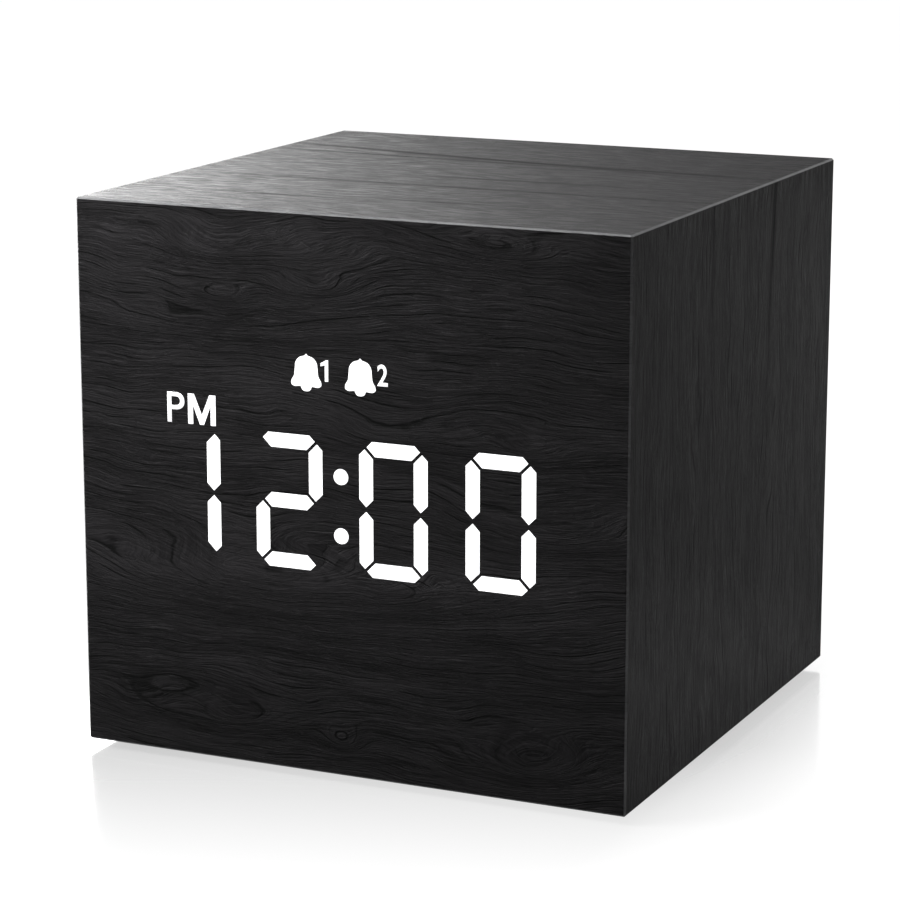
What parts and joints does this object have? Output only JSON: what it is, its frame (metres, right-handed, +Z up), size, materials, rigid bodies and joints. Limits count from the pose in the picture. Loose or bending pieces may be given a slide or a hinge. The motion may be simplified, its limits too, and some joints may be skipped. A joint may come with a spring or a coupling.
{
  "type": "talking clock",
  "caption": "Cube talking clock in black wood-grain film, with a white digital display, rear speaker and keys, and a battery door underneath.",
  "frame": {"origin": "under the middle of the cube, in the plane of the feet's undersides", "axes": "+X to the right as the display is read, +Y from the display to the back, +Z up"},
  "size_m": [0.066, 0.066, 0.0635],
  "materials": {
    "black_film": "embossed wood grain, satin",
    "fibreboard": "raw",
    "black_abs": "fine mould texture",
    "white_plastic": "smooth",
    "lit_lens": "glowing white",
    "clear_lens": "clear",
    "lamp": "yellow phosphor",
    "circuit_card": "solder mask",
    "chip_black": "moulded",
    "steel": "zinc plated",
    "black_steel": "black oxide",
    "nickel": "nickel plated",
    "foam": "foam",
    "rubber": "matt",
    "cone_paper": "paper",
    "cell_can": "plain sleeve",
    "capacitor_can": "plain",
    "ribbon": "flat ribbon"
  },
  "bodies": {
    "cabinet": {"front_board": "fibreboard", "top_board": "fibreboard", "bottom_board": "fibreboard", "left_board": "fibreboard", "right_board": "fibreboard", "sleeve_film": "black_film", "front_film": "black_film", "hour_tens_segments": "lit_lens", "hour_units_segments": "lit_lens", "minute_tens_segments": "lit_lens", "minute_units_segments": "lit_lens", "colon_dots": "lit_lens", "icon_lenses": "clear_lens", "unlit_segments": "clear_lens", "light_block": "white_plastic", "rubber_feet": "rubber", "display_card": "circuit_card", "led_chips": "lamp", "display_screws": "steel", "tray_screws": "steel", "card_screws": "steel", "back_cover": "black_abs", "corner_blocks": "fibreboard", "cover_screws": "black_steel", "key_switches": "chip_black", "main_card": "circuit_card", "clock_chip": "chip_black", "voice_chip": "chip_black", "quartz_crystal": "capacitor_can", "capacitor": "capacitor_can", "power_socket_shell": "steel", "power_socket_tongue": "chip_black", "ribbon_sockets": "white_plastic", "display_ribbon": "ribbon", "speaker_gasket": "foam", "speaker_frame": "black_steel", "speaker_yoke": "steel", "speaker_magnet": "nickel", "speaker_surround": "rubber", "speaker_clamps": "steel", "speaker_screws": "steel", "battery_tray": "black_abs", "aaa_cells": "cell_can", "spring_contacts": "nickel", "button_contacts": "nickel"},
    "battery_door": {"battery_door": "black_abs", "door_latch": "black_abs"},
    "talk_key": {"talk_key": "black_abs", "talk_key_plunger": "chip_black"},
    "set_key": {"set_key": "black_abs", "set_key_plunger": "chip_black"},
    "down_key": {"down_key": "black_abs", "down_key_plunger": "chip_black"},
    "up_key": {"up_key": "black_abs", "up_key_plunger": "chip_black"},
    "speaker_cone": {"speaker_cone": "cone_paper"}
  },
  "joints": [
    {"name": "battery_door_hinge", "type": "hinge", "parent": "cabinet", "child": "battery_door", "pos_m": [0, -0.0234, 0.00185], "axis": [-1, 0, 0], "range_deg": [0, 75], "deforming": ["door_latch"]},
    {"name": "talk_key_press", "type": "slide", "parent": "cabinet", "child": "talk_key", "axis": [0, -1, 0], "range_m": [0, 0.0004], "stiffness_N_per_m": 1000, "springref_m": -0.0003},
    {"name": "set_key_press", "type": "slide", "parent": "cabinet", "child": "set_key", "axis": [0, -1, 0], "range_m": [0, 0.0004], "stiffness_N_per_m": 1000, "springref_m": -0.0003},
    {"name": "down_key_press", "type": "slide", "parent": "cabinet", "child": "down_key", "axis": [0, -1, 0], "range_m": [0, 0.0004], "stiffness_N_per_m": 1000, "springref_m": -0.0003},
    {"name": "up_key_press", "type": "slide", "parent": "cabinet", "child": "up_key", "axis": [0, -1, 0], "range_m": [0, 0.0004], "stiffness_N_per_m": 1000, "springref_m": -0.0003},
    {"name": "speaker_cone_stroke", "type": "slide", "parent": "cabinet", "child": "speaker_cone", "axis": [0, 1, 0], "range_m": [-0.0003, 0.0003], "stiffness_N_per_m": 500, "deforming": ["speaker_surround"]}
  ]
}
